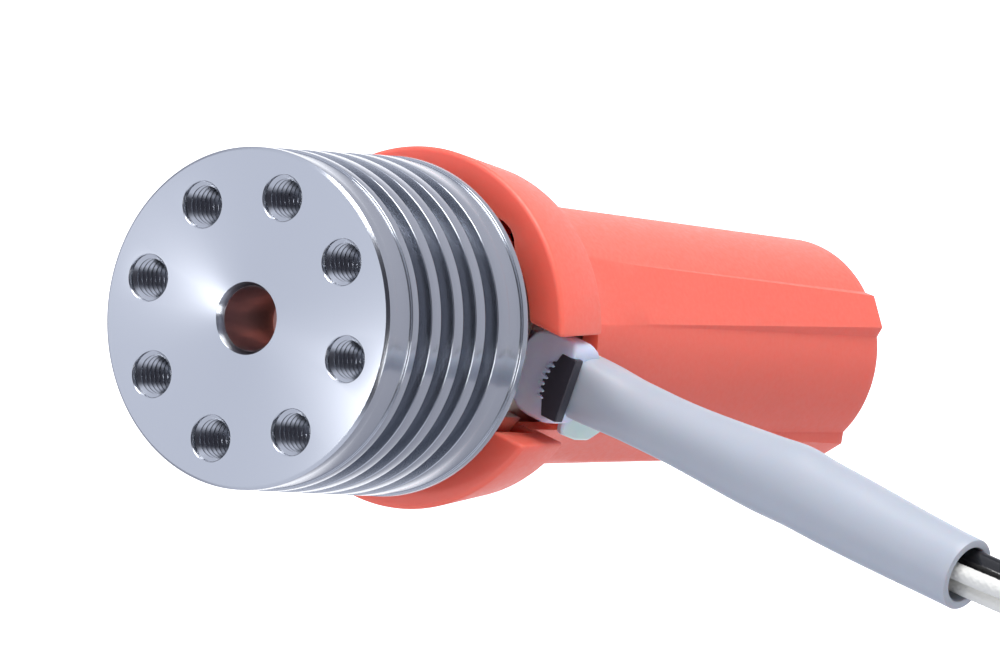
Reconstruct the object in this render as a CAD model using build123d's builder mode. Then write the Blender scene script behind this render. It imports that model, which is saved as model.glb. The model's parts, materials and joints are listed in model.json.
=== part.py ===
from build123d import *
from math import cos, pi, radians, sin, tan
import os

# A compact 3-D printer hotend. Millimetres, +Z up. The origin is the centre of the mounting
# face, the nozzle points down (-Z), and the leads leave towards +X. Heights are below the face.

# Driving dimensions: heatsink
sink_r = 11.0
sink_length = 16.05
sink_chamfer = 0.2
band_depth = 0.15
top_band = (1.0, 2.75)
flange_band = (13.85, 15.4)
groove_top = 3.5
groove_pitch = 2.53
groove_width = 1.45
groove_count = 4
groove_floor_r = 9.85
mount_pcd = 16.25
mount_count = 8
mount_hole_r = 1.5
mount_hole_depth = 7.0
mount_hole_turn = 3.2
tube_mouth_r = 2.35
tube_mouth_depth = 0.55

# Driving dimensions: heat break and melt core
break_sleeve_r = 3.0
guide_bore_r = 2.1
guide_bore_length = 5.55
flow_bore_r = 1.0
break_tube_r = 1.5
break_tube_top = 10.0
break_tube_end = 23.0
core_top = 19.3
core_flange_r = 8.9
core_flange_thickness = 2.2
core_hub_r = 4.2
core_end = 56.5
nozzle_bore_r = 3.0
nozzle_bore_top = 49.0

# Driving dimensions: standoffs
standoff_ring_r = 7.9
standoff_turn = mount_hole_turn + 60
spacer_r = 1.5
standoff_screw_r = 1.0
screw_head_r = 1.7
screw_head_length = 1.6
screw_reach = 4.0

# Driving dimensions: heater and its lead-out
heater_inner_r = 4.3
heater_outer_r = 5.9
heater_top = 22.3
heater_end = 53.0
washer_thickness = 0.5
nut_r = 5.8
nut_length = 2.5
boss_width = 5.8
boss_side = 0.42
boss_top = 21.55
boss_end = 24.7
boss_inner_x = 6.7
boss_outer_x = 10.8
sleeve_start = 10.3
tongue_width = 3.2
tongue_side = -1.85
tongue_top = 23.4
tongue_end = 27.3
tongue_start_r = 8.9
tongue_thickness = 1.0
exit_height = 24.5
exit_side = 0.28

# Driving dimensions: silicone boot
collar_top = 18.75
collar_end = 24.8
collar_top_r = 11.8
collar_end_r = 10.86
collar_inner_r = 9.2
collar_floor = 23.6
boot_shoulder_r = 8.8
boot_waist_r = 8.3
boot_waist = 36.5
boot_end_r = 7.24
boot_end = 63.1
boot_wall = 1.2
boot_lip = 1.4
boot_hole_r = 4.45
boot_slot_width = 7.5
boot_slot_end = 27.6
pad_top = 30.0
pad_top_half_angle = 15.0
pad_end_half_width = 1.57
pad_crest_half_width = 1.1
pad_proud = 0.42
pad_angles = (40.5, 140, -140, -40.5)

# Driving dimensions: nozzle
hex_across_flats = 7.0
hex_top = 56.9
hex_length = 3.0
nozzle_nose_end = 62.2
nozzle_thread_r = 2.95
nozzle_thread_top = 49.4
hex_bevel = 0.3
nozzle_nose_root_r = 2.9
nozzle_nose_r = 1.75
tip_stem_r = 1.25
tip_cone_r = 1.65
tip_flat_r = 0.5
tip_funnel = 1.4
tip_end = 64.9
orifice_r = 0.2
orifice_length = 0.5

# Driving dimensions: lead sleeve, leads and plugs
sleeve_root_r = 2.12
sleeve_wall = 0.55
sleeve_bulge_r = 2.62
sleeve_bulge_x = 29.0
sleeve_end_r = 2.38
sleeve_end = 43.6
ferrule_r = 0.75
ferrule_start = 28.5
ferrule_length = 7.5
heater_lead_r = 0.575
thermistor_lead_r = 0.8
joint_gap = 0.3
fit_gap = 0.05

os.makedirs("parts", exist_ok=True)


def section(points):
    """A closed half section in the XZ plane from (radius, height below the face) points."""
    with BuildSketch(Plane.XZ) as half:
        with BuildLine():
            Polyline([(r, -depth) for r, depth in points], close=True)
        make_face()
    return half.sketch


def write(piece, name):
    piece.part.label = name
    export_step(piece.part, f"parts/{name}.step")


def down(depth):
    """The horizontal plane at a depth below the mounting face."""
    return Plane.XY.offset(-depth)


# Heatsink: a turned body with four deep grooves and two shallow bands.
outline = [(0, 0), (sink_r - sink_chamfer, 0), (sink_r, sink_chamfer)]
outline += [(sink_r, top_band[0]), (sink_r - band_depth, top_band[0])]
outline += [(sink_r - band_depth, top_band[1]), (sink_r, top_band[1])]
for index in range(groove_count):
    start = groove_top + index * groove_pitch
    outline += [(sink_r, start), (groove_floor_r, start)]
    outline += [(groove_floor_r, start + groove_width), (sink_r, start + groove_width)]
outline += [(sink_r, flange_band[0]), (sink_r - band_depth, flange_band[0])]
outline += [(sink_r - band_depth, flange_band[1]), (sink_r, flange_band[1])]
outline += [(sink_r, sink_length), (0, sink_length)]
with BuildPart() as heatsink:
    add(section(outline))
    revolve(axis=Axis.Z)
    add(section([
        (0, 0),
        (tube_mouth_r, 0),
        (guide_bore_r, tube_mouth_depth),
        (0, tube_mouth_depth),
    ]))
    revolve(axis=Axis.Z, mode=Mode.SUBTRACT)
    with BuildSketch(down(tube_mouth_depth)):
        Circle(break_sleeve_r)
    extrude(amount=tube_mouth_depth - sink_length, mode=Mode.SUBTRACT)
    with BuildSketch(down(0)):
        with PolarLocations(mount_pcd / 2, mount_count, start_angle=mount_hole_turn):
            Circle(mount_hole_r)
    extrude(amount=-mount_hole_depth, mode=Mode.SUBTRACT)
    with BuildSketch(down(sink_length - screw_reach - joint_gap)):
        with PolarLocations(standoff_ring_r, 3, start_angle=standoff_turn):
            Circle(standoff_screw_r + fit_gap)
    extrude(amount=-screw_reach - joint_gap, mode=Mode.SUBTRACT)
write(heatsink, "heatsink")

# Copper sleeve pressed into the heatsink: it guides the filament tube, then funnels it down.
funnel_end = tube_mouth_depth + guide_bore_length + (guide_bore_r - flow_bore_r)
with BuildPart() as heat_break_sleeve:
    add(section([
        (guide_bore_r, tube_mouth_depth),
        (break_sleeve_r, tube_mouth_depth),
        (break_sleeve_r, sink_length),
        (break_tube_r, sink_length),
        (break_tube_r, break_tube_top),
        (flow_bore_r, break_tube_top),
        (flow_bore_r, funnel_end),
        (guide_bore_r, tube_mouth_depth + guide_bore_length),
    ]))
    revolve(axis=Axis.Z)
write(heat_break_sleeve, "heat_break_sleeve")

# Thin heat-break tube: joins the cold copper sleeve to the hot core.
with BuildPart() as heat_break_tube:
    with BuildSketch(down(break_tube_end)):
        Circle(break_tube_r)
        Circle(flow_bore_r, mode=Mode.SUBTRACT)
    extrude(amount=break_tube_end - break_tube_top)
write(heat_break_tube, "heat_break_tube")

# Melt core: a flange carried by the standoffs over a long hub that the heater slides onto.
flange_end = core_top + core_flange_thickness
cartridge_r = 0.8
cartridge_start = 3.2
cartridge_length = 3.6
cartridge_height = core_top + core_flange_thickness / 2
grub_r = 0.75
grub_x = 5.2
flange_slot_start = 7.0
with BuildPart() as melt_core:
    with BuildSketch(down(flange_end)):
        Circle(core_flange_r)
    extrude(amount=core_flange_thickness)
    with BuildSketch(down(core_end)):
        Circle(core_hub_r)
    extrude(amount=core_end - flange_end)
    with BuildSketch(down(core_end)):
        Circle(nozzle_bore_r)
    extrude(amount=core_end - nozzle_bore_top, mode=Mode.SUBTRACT)
    with BuildSketch(down(core_top)):
        Circle(flow_bore_r)
    extrude(amount=core_top - core_end, mode=Mode.SUBTRACT)
    with BuildSketch(down(break_tube_end)):
        Circle(break_tube_r)
    extrude(amount=break_tube_end - core_top, mode=Mode.SUBTRACT)
    with BuildSketch(down(flange_end)):
        with PolarLocations(standoff_ring_r, 3, start_angle=standoff_turn):
            Circle(standoff_screw_r + fit_gap)
    extrude(amount=core_flange_thickness, mode=Mode.SUBTRACT)
    with BuildSketch(down(flange_end)):
        with Locations((flange_slot_start + core_flange_r / 2, boss_side)):
            Rectangle(core_flange_r, boss_width + 2 * joint_gap)
    extrude(amount=core_flange_thickness, mode=Mode.SUBTRACT)
    with BuildSketch(Plane.YZ.offset(cartridge_start)):
        with Locations((0, -cartridge_height)):
            Circle(cartridge_r)
    extrude(amount=core_flange_r, mode=Mode.SUBTRACT)
    with BuildSketch(down(core_top)):
        with Locations((grub_x, 0)):
            Circle(grub_r)
    extrude(amount=core_top - cartridge_height, mode=Mode.SUBTRACT)
write(melt_core, "melt_core")

# Standoffs: three tubes between heatsink and core, and the screws that pull them together.
with BuildPart() as standoff_spacers:
    with BuildSketch(down(core_top)):
        with PolarLocations(standoff_ring_r, 3, start_angle=standoff_turn):
            Circle(spacer_r)
            Circle(standoff_screw_r + fit_gap, mode=Mode.SUBTRACT)
    extrude(amount=core_top - sink_length)
write(standoff_spacers, "standoff_spacers")

head_end = flange_end + screw_head_length
drive_r = 0.75
drive_depth = 0.9
with BuildPart() as standoff_screws:
    with BuildSketch(down(flange_end)):
        with PolarLocations(standoff_ring_r, 3, start_angle=standoff_turn):
            Circle(standoff_screw_r)
    extrude(amount=flange_end - sink_length + screw_reach)
    with BuildSketch(down(head_end)):
        with PolarLocations(standoff_ring_r, 3, start_angle=standoff_turn):
            Circle(screw_head_r)
    extrude(amount=screw_head_length)
    with BuildSketch(down(head_end)):
        with PolarLocations(standoff_ring_r, 3, start_angle=standoff_turn):
            RegularPolygon(drive_r, 6)
    extrude(amount=drive_depth, mode=Mode.SUBTRACT)
write(standoff_screws, "standoff_screws")

# Ceramic heater tube round the hub, held up by a washer and a slotted ring nut.
with BuildPart() as heater_tube:
    with BuildSketch(down(heater_end)):
        Circle(heater_outer_r)
        Circle(heater_inner_r, mode=Mode.SUBTRACT)
    extrude(amount=heater_end - heater_top)
write(heater_tube, "heater_tube")

with BuildPart() as heater_washer:
    with BuildSketch(down(heater_end + washer_thickness)):
        Circle(nut_r)
        Circle(heater_inner_r, mode=Mode.SUBTRACT)
    extrude(amount=washer_thickness)
write(heater_washer, "heater_washer")

nut_top = heater_end + washer_thickness
nut_slot = 1.2
with BuildPart() as heater_nut:
    with BuildSketch(down(nut_top + nut_length)):
        Circle(nut_r)
        Circle(core_hub_r + fit_gap / 2, mode=Mode.SUBTRACT)
    extrude(amount=nut_length)
    with BuildSketch(down(nut_top + nut_length)):
        with PolarLocations(nut_r, 4):
            Rectangle(nut_slot, nut_slot)
    extrude(amount=nut_length / 2, mode=Mode.SUBTRACT)
write(heater_nut, "heater_nut")

# Lead-out block: potted on the heater's side in the boot's slot, it carries the sleeve.
boss_inner_corner = 2.0
boss_outer_corner = 0.9
boss_top_edge = 0.3
boss_end_edge = 1.9
neck_width = 4.4
tongue_corner = 1.2
clip_length = 4.3
clip_side = 0.1
clip_thick = 1.15
clip_depth = 0.7
clip_top = 21.5
clip_start = 9.75
clip_middle = -clip_top - clip_depth / 2
clip_pin_r = 0.25
clip_pin_places = ((clip_side - 1.5, clip_middle), (clip_side + 1.5, clip_middle))
clip_pin_length = 1.2
with BuildPart() as lead_out_block:
    with BuildSketch(down(boss_end)) as plan:
        with Locations(((boss_inner_x + boss_outer_x) / 2, boss_side)):
            Rectangle(boss_outer_x - boss_inner_x, boss_width)
        fillet(plan.vertices().group_by(Axis.X)[0], boss_inner_corner)
        fillet(plan.vertices().group_by(Axis.X)[-1], boss_outer_corner)
    extrude(amount=boss_end - boss_top)
    with BuildSketch(Plane.YZ.offset(boss_inner_x)) as profile:
        with Locations((boss_side, -(boss_top + boss_end) / 2)):
            Rectangle(boss_width, boss_end - boss_top)
        fillet(profile.vertices().group_by(Axis.Y)[0], boss_end_edge)
        fillet(profile.vertices().group_by(Axis.Y)[-1], boss_top_edge)
    extrude(amount=boss_outer_x - boss_inner_x, mode=Mode.INTERSECT)
    with BuildSketch(down(boss_end - boss_top_edge)):
        with Locations(((heater_inner_r + boss_outer_x) / 2 - 1, boss_side)):
            Rectangle(boss_outer_x - heater_inner_r - 2, neck_width)
    extrude(amount=boss_end - boss_top_edge - heater_top)
    with BuildSketch(Plane.YZ.offset(tongue_start_r)):
        with Locations((tongue_side, -(tongue_top + tongue_end) / 2)):
            RectangleRounded(tongue_width, tongue_end - tongue_top, tongue_corner)
    extrude(amount=tongue_thickness)
    with BuildSketch(Plane.YZ.offset(heater_inner_r)):
        with Locations((exit_side, -exit_height)):
            Circle(sleeve_root_r)
    extrude(amount=sleeve_start - heater_inner_r)
    with BuildSketch(down(tongue_end)):
        Circle(heater_outer_r)
    extrude(amount=tongue_end - boss_top, mode=Mode.SUBTRACT)
    with BuildSketch(Plane.YZ.offset(clip_start)):
        with Locations((clip_side, clip_middle)):
            Rectangle(clip_length, clip_depth)
    extrude(amount=clip_thick, mode=Mode.SUBTRACT)
    with BuildSketch(Plane.YZ.offset(clip_start - clip_pin_length)):
        with Locations(*clip_pin_places):
            Circle(clip_pin_r + fit_gap / 2)
    extrude(amount=clip_pin_length, mode=Mode.SUBTRACT)
    with BuildSketch(Plane.YZ.offset(sleeve_start)):
        with Locations((exit_side, -exit_height)):
            Circle(sleeve_root_r + fit_gap)
    extrude(amount=boss_outer_x - sleeve_start, mode=Mode.SUBTRACT)
write(lead_out_block, "lead_out_block")

# Clip bar: crosses the front of the sleeve's root and pins into the block.
clip_bevel = 0.12
with BuildPart() as lead_clip:
    with BuildSketch(Plane.YZ.offset(clip_start)):
        with Locations((clip_side, clip_middle)):
            Rectangle(clip_length, clip_depth)
    extrude(amount=clip_thick)
    chamfer(lead_clip.faces().sort_by(Axis.X)[-1].edges(), clip_bevel)
    with BuildSketch(Plane.YZ.offset(clip_start - clip_pin_length)):
        with Locations(*clip_pin_places):
            Circle(clip_pin_r)
    extrude(amount=clip_pin_length)
write(lead_clip, "lead_clip")

# Thermistor cartridge in the flange's radial hole, and the grub screw that holds it.
with BuildPart() as thermistor_cartridge:
    with BuildSketch(Plane.YZ.offset(cartridge_start + fit_gap)):
        with Locations((0, -cartridge_height)):
            Circle(cartridge_r - fit_gap)
    extrude(amount=cartridge_length)
write(thermistor_cartridge, "thermistor_cartridge")

grub_end = cartridge_height - cartridge_r
grub_top = core_top - 0.6
grub_drive_depth = 0.4
with BuildPart() as thermistor_grub_screw:
    with BuildSketch(down(grub_end)):
        with Locations((grub_x, 0)):
            Circle(grub_r - fit_gap / 2)
    extrude(amount=grub_end - grub_top)
    with BuildSketch(down(grub_top)):
        with Locations((grub_x, 0)):
            RegularPolygon(grub_r / 2, 6)
    extrude(amount=-grub_drive_depth, mode=Mode.SUBTRACT)
write(thermistor_grub_screw, "thermistor_grub_screw")

# Nozzle: threaded shank, hexagon and nose, over a pressed-in hard tip with the orifice.
thread_lead_in = 0.4
hex_neck_r = hex_across_flats / 2 - hex_bevel
with BuildPart() as nozzle:
    with BuildSketch(down(hex_top + hex_length)):
        RegularPolygon(hex_across_flats / 2, 6, major_radius=False)
    extrude(amount=hex_length)
    add(section([
        (0, nozzle_thread_top),
        (nozzle_thread_r - thread_lead_in, nozzle_thread_top),
        (nozzle_thread_r, nozzle_thread_top + thread_lead_in),
        (nozzle_thread_r, hex_top),
        (hex_neck_r, hex_top),
        (hex_neck_r, hex_top + hex_length),
        (nozzle_nose_root_r, hex_top + hex_length),
        (nozzle_nose_r, nozzle_nose_end),
        (0, nozzle_nose_end),
    ]))
    revolve(axis=Axis.Z)
    with BuildSketch(down(nozzle_thread_top)):
        Circle(flow_bore_r)
    extrude(amount=nozzle_thread_top - nozzle_nose_end, mode=Mode.SUBTRACT)
    with BuildSketch(down(hex_top - 1)):
        Circle(tip_stem_r + fit_gap)
    extrude(amount=hex_top - 1 - nozzle_nose_end, mode=Mode.SUBTRACT)
write(nozzle, "nozzle")

tip_stem_top = hex_top - 1 + fit_gap
with BuildPart() as nozzle_tip:
    add(section([
        (flow_bore_r, tip_stem_top),
        (tip_stem_r, tip_stem_top),
        (tip_stem_r, nozzle_nose_end + fit_gap),
        (tip_cone_r, nozzle_nose_end + fit_gap),
        (tip_flat_r, tip_end),
        (orifice_r, tip_end),
        (orifice_r, tip_end - orifice_length),
        (flow_bore_r, tip_end - orifice_length - tip_funnel),
    ]))
    revolve(axis=Axis.Z)
write(nozzle_tip, "nozzle_tip")

# Silicone boot: a collar over the core's flange and a tapering body over the heater.
boot_taper = (boot_waist_r - boot_end_r) / (boot_end - boot_waist)
pad_top_r = boot_shoulder_r - (boot_shoulder_r - boot_waist_r) * (pad_top - collar_end) / (
    boot_waist - collar_end)
pad_top_half_width = pad_top_r * sin(radians(pad_top_half_angle))
pad_top_flat = pad_top_r * cos(radians(pad_top_half_angle))
pad_top_slope = 0.04
pad_root = 6.6
flat_cut = 2.0
notch_r = 1.95
with BuildPart() as silicone_boot:
    add(section([
        (0, collar_top),
        (collar_top_r, collar_top),
        (collar_end_r, collar_end),
        (boot_shoulder_r, collar_end),
        (boot_waist_r, boot_waist),
        (boot_end_r, boot_end),
        (0, boot_end),
    ]))
    revolve(axis=Axis.Z)
    for angle in pad_angles:
        turned = Rotation(0, 0, angle)
        with BuildSketch(turned * down(pad_top)):
            with Locations((pad_top_flat + flat_cut / 2, 0)):
                Rectangle(flat_cut, 2 * boot_waist_r)
        with BuildSketch(turned * down(boot_end)):
            with Locations((boot_end_r + flat_cut / 2, 0)):
                Rectangle(flat_cut, 2 * boot_waist_r)
        loft(mode=Mode.SUBTRACT)
        with BuildSketch(turned * down(pad_top)):
            with BuildLine():
                Polyline(
                    (pad_root, -pad_top_half_width),
                    (pad_top_flat - pad_top_slope, -pad_top_half_width),
                    (pad_top_flat, -pad_top_half_width + pad_top_slope),
                    (pad_top_flat, pad_top_half_width - pad_top_slope),
                    (pad_top_flat - pad_top_slope, pad_top_half_width),
                    (pad_root, pad_top_half_width),
                    close=True,
                )
            make_face()
        with BuildSketch(turned * down(boot_end)):
            with BuildLine():
                Polyline(
                    (pad_root, -pad_end_half_width),
                    (boot_end_r - pad_proud / 2, -pad_end_half_width),
                    (boot_end_r + pad_proud, -pad_crest_half_width),
                    (boot_end_r + pad_proud, pad_crest_half_width),
                    (boot_end_r - pad_proud / 2, pad_end_half_width),
                    (pad_root, pad_end_half_width),
                    close=True,
                )
            make_face()
        loft()
    add(section([
        (0, collar_top),
        (collar_inner_r, collar_top),
        (collar_inner_r, collar_floor),
        (boot_shoulder_r - boot_wall, collar_floor),
        (boot_waist_r - boot_wall, boot_waist),
        (boot_end_r - boot_wall, boot_end - boot_lip),
        (boot_hole_r, boot_end - boot_lip),
        (boot_hole_r, boot_end),
        (0, boot_end),
    ]))
    revolve(axis=Axis.Z, mode=Mode.SUBTRACT)
    with BuildSketch(down(collar_floor)):
        with PolarLocations(standoff_ring_r, 3, start_angle=standoff_turn):
            Circle(notch_r)
    extrude(amount=collar_floor - collar_top, mode=Mode.SUBTRACT)
    with BuildSketch(Plane.YZ):
        with Locations((0, -(collar_top + boot_slot_end) / 2)):
            Rectangle(boot_slot_width, boot_slot_end - collar_top)
    extrude(amount=2 * collar_top_r, mode=Mode.SUBTRACT)
write(silicone_boot, "silicone_boot")

# Lead sleeve: a soft tube on the block, swollen where it covers the crimped joints.
with BuildPart() as lead_sleeve:
    with BuildSketch(Plane.XZ) as wall:
        with BuildLine():
            Spline(
                (sleeve_start, sleeve_root_r),
                (sleeve_start + 5, sleeve_root_r + 0.04),
                (sleeve_bulge_x, sleeve_bulge_r),
                (sleeve_end - 6, sleeve_end_r + 0.03),
                (sleeve_end, sleeve_end_r),
                tangents=[(1, 0), (1, 0)],
            )
            Line((sleeve_end, sleeve_end_r), (sleeve_end, sleeve_end_r - sleeve_wall))
            Spline(
                (sleeve_end, sleeve_end_r - sleeve_wall),
                (sleeve_end - 6, sleeve_end_r + 0.03 - sleeve_wall),
                (sleeve_bulge_x, sleeve_bulge_r - sleeve_wall),
                (sleeve_start + 5, sleeve_root_r + 0.04 - sleeve_wall),
                (sleeve_start, sleeve_root_r - sleeve_wall),
                tangents=[(-1, 0), (-1, 0)],
            )
            Line((sleeve_start, sleeve_root_r - sleeve_wall), (sleeve_start, sleeve_root_r))
        make_face()
    revolve(axis=Axis.X)
lead_sleeve.part = Pos(0, exit_side, -exit_height) * lead_sleeve.part
write(lead_sleeve, "lead_sleeve")

# Three crimped joints inside the sleeve: (y, z) places about the sleeve's axis.
joint_places = {
    "thermistor": (exit_side + 0.82, -0.48),
    "heater_a": (exit_side, 0.95),
    "heater_b": (exit_side - 0.82, -0.48),
}
with BuildPart() as crimp_ferrules:
    with BuildSketch(Plane.YZ.offset(ferrule_start)):
        with Locations(*[(y, z - exit_height) for y, z in joint_places.values()]):
            Circle(ferrule_r)
    extrude(amount=ferrule_length)
write(crimp_ferrules, "crimp_ferrules")

# Tails: the heater's two wires and the thermistor's cable, from the block to the ferrules.
tail_r = 0.5
with BuildPart() as heater_tails:
    with BuildSketch(Plane.YZ.offset(sleeve_start)):
        for key in ("heater_a", "heater_b"):
            with Locations((joint_places[key][0], joint_places[key][1] * 0.8 - exit_height)):
                Circle(tail_r)
    extrude(amount=ferrule_start - sleeve_start)
write(heater_tails, "heater_tails")

with BuildPart() as thermistor_tail:
    with BuildSketch(Plane.YZ.offset(sleeve_start)):
        with Locations((joint_places["thermistor"][0], joint_places["thermistor"][1] - exit_height)):
            Circle(tail_r)
    extrude(amount=ferrule_start - sleeve_start)
write(thermistor_tail, "thermistor_tail")

# Free leads: from the ferrules out of the sleeve's mouth, then hanging down to their plugs.

def corner_radii(route):
    """Arc radii for a route: 0.45 of the shorter run over the tangent of half the turn."""
    radii = []
    for before, corner, after in zip(route, route[1:], route[2:]):
        first = Vector(*corner) - Vector(*before)
        second = Vector(*after) - Vector(*corner)
        turn = radians(first.get_angle(second))
        radii.append(0.45 * min(first.length, second.length) / tan(turn / 2))
    return radii


routes = {
    "thermistor_lead": [
        (36.0, 1.10, -24.95),
        (45.5, 1.03, -24.85),
        (54.3, 2.40, -28.20),
        (58.0, 3.20, -37.00),
        (59.4, 3.60, -51.00),
        (58.8, 4.50, -68.00),
        (57.6, 5.70, -86.00),
        (57.0, 6.60, -103.00),
        (57.2, 7.00, -118.00),
    ],
    "heater_lead_a": [
        (36.0, 0.28, -23.50),
        (45.5, 0.28, -23.45),
        (54.6, 1.30, -26.40),
        (59.8, 1.60, -36.00),
        (61.4, 0.90, -51.00),
        (60.8, -0.70, -70.00),
        (59.5, -2.40, -90.00),
        (58.9, -3.60, -110.00),
        (58.9, -4.25, -128.00),
    ],
    "heater_lead_b": [
        (36.0, -0.62, -24.75),
        (45.5, -0.77, -24.45),
        (54.4, 0.10, -27.80),
        (58.4, -0.90, -37.40),
        (59.0, -2.90, -52.50),
        (57.8, -4.40, -72.00),
        (56.4, -5.00, -91.00),
        (55.8, -4.80, -110.00),
        (55.9, -4.25, -128.00),
    ],
}
lead_radii = {
    "thermistor_lead": thermistor_lead_r,
    "heater_lead_a": heater_lead_r,
    "heater_lead_b": heater_lead_r,
}
for lead_name, route in routes.items():
    corners = corner_radii(route)
    print(lead_name, "arc radii", [round(r, 1) for r in corners])
    with BuildPart() as lead:
        with BuildLine() as path:
            FilletPolyline(*route, radius=corners)
        with BuildSketch(Plane(origin=path.line @ 0, z_dir=path.line % 0)):
            Circle(lead_radii[lead_name])
        sweep()
    length = sum(edge.length for edge in path.line.edges())
    tube = length * pi * lead_radii[lead_name] ** 2
    print(lead_name, "length", round(length, 1), "volume ratio", round(lead.part.volume / tube, 4))
    write(lead, lead_name)

# Plugs: two-way housings with their crimped contacts, one for the heater, one for the thermistor.
contact_length = 6.0
contact_gap = 0.03
housing_corner = 0.5
mouth_chamfer = 0.35
latch_share = 0.45
latch_end_gap = 1.0
rib_count = 4
rib_pitch = 0.9
rib_height = 0.4
rib_proud = 0.3
rib_root = 0.2


def plug_housing(top, pitch, width, depth, length, cavity, latch):
    """A two-way housing hanging from its wires: cavities, a latch arm and finger ribs."""
    x, y, z = top
    with BuildPart() as housing:
        with BuildSketch(Plane.XY.offset(z - length)):
            with Locations((x, y)):
                RectangleRounded(width, depth, housing_corner)
        extrude(amount=length)
        chamfer(housing.faces().sort_by(Axis.Z)[0].edges(), mouth_chamfer)
        with BuildSketch(Plane.XY.offset(z - length)):
            with Locations((x - pitch / 2, y), (x + pitch / 2, y)):
                Rectangle(cavity, cavity)
        extrude(amount=length, mode=Mode.SUBTRACT)
        with BuildSketch(Plane.XY.offset(z - length + latch_end_gap)):
            with Locations((x, y - depth / 2 - latch / 2 + rib_root / 2)):
                Rectangle(width * latch_share, latch + rib_root)
        extrude(amount=length - 2 * latch_end_gap)
        for index in range(rib_count):
            with BuildSketch(Plane.XY.offset(z - 2 * rib_height - index * rib_pitch)):
                with Locations((x, y)):
                    Rectangle(width + 2 * rib_proud, depth / 2)
                    Rectangle(width - 2 * rib_root, depth, mode=Mode.SUBTRACT)
            extrude(amount=rib_height)
    return housing


def plug_contacts(top, pitch, cavity, length):
    """Two square crimp contacts that stand in the housing's cavities."""
    x, y, z = top
    with BuildPart() as contacts:
        with BuildSketch(Plane.XY.offset(z - length)):
            with Locations((x - pitch / 2, y), (x + pitch / 2, y)):
                Rectangle(cavity - 2 * contact_gap, cavity - 2 * contact_gap)
        extrude(amount=length)
        with BuildSketch(Plane.XY.offset(z - length)):
            with Locations((x - pitch / 2, y), (x + pitch / 2, y)):
                Circle(cavity / 4)
        extrude(amount=contact_length, mode=Mode.SUBTRACT)
    return contacts


heater_plug_top = (57.4, -4.25, -128.0)
heater_pitch = 3.0
heater_cavity = 2.2
heater_plug = plug_housing(heater_plug_top, heater_pitch, 7.0, 5.6, 13.0, heater_cavity, 0.9)
write(heater_plug, "heater_plug_housing")
write(plug_contacts(heater_plug_top, heater_pitch, heater_cavity, 12.0), "heater_plug_contacts")

thermistor_plug_top = (57.2, 7.0, -118.0)
thermistor_pitch = 2.5
thermistor_cavity = 1.8
thermistor_plug = plug_housing(
    thermistor_plug_top, thermistor_pitch, 7.4, 5.2, 10.0, thermistor_cavity, 0.8
)
write(thermistor_plug, "thermistor_plug_housing")
write(
    plug_contacts(thermistor_plug_top, thermistor_pitch, thermistor_cavity, 9.0),
    "thermistor_plug_contacts",
)
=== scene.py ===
import json
import math

import bmesh
import bpy
import numpy as np
from mathutils import Matrix, Vector

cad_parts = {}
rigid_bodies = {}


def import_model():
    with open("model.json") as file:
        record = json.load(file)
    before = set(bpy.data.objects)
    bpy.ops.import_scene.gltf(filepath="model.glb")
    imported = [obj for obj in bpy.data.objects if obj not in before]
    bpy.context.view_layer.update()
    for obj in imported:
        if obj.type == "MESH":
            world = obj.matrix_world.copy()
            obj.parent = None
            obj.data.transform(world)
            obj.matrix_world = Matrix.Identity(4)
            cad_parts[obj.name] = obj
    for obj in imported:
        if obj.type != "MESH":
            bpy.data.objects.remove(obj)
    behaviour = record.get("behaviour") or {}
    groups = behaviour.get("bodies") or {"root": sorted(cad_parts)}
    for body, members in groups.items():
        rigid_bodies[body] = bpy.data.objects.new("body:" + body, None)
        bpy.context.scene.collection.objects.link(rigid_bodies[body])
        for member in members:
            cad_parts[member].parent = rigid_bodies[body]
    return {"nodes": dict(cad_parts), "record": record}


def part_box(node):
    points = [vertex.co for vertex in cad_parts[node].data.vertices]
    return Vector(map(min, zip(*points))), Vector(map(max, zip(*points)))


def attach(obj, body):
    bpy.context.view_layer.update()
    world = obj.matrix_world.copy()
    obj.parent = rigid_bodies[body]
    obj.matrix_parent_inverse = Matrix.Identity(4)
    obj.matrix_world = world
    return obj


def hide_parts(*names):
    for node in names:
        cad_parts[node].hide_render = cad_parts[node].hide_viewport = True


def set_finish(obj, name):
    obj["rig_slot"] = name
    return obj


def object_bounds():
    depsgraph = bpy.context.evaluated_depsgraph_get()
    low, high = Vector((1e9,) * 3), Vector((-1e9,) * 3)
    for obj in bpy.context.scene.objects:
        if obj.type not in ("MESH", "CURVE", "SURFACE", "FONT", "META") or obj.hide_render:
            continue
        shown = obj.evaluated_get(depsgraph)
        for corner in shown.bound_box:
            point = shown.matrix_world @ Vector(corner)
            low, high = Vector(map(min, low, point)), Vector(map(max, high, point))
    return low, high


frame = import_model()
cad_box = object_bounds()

MM = 0.001
scene = bpy.context.scene
scene.view_settings.view_transform = "Standard"

# ---------------------------------------------------------------- camera

# The camera looks along the hotend's axis from above its mounting face, almost without
# perspective, and is rolled so that the axis lies level in the picture.
AXIS_YAW = math.radians(33.95)      # between the line of sight and the hotend's axis
AXIS_PITCH = math.radians(1.79)
EXIT_ROLL = math.radians(22.0)      # of the lead exit below the picture's level line
FACE_PLACE = Vector((-16.23, -1.01, 1599.7)) * MM   # face centre: right, down and forward
LENS_MM = 900.0
SENSOR_MM = 36.0


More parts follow.
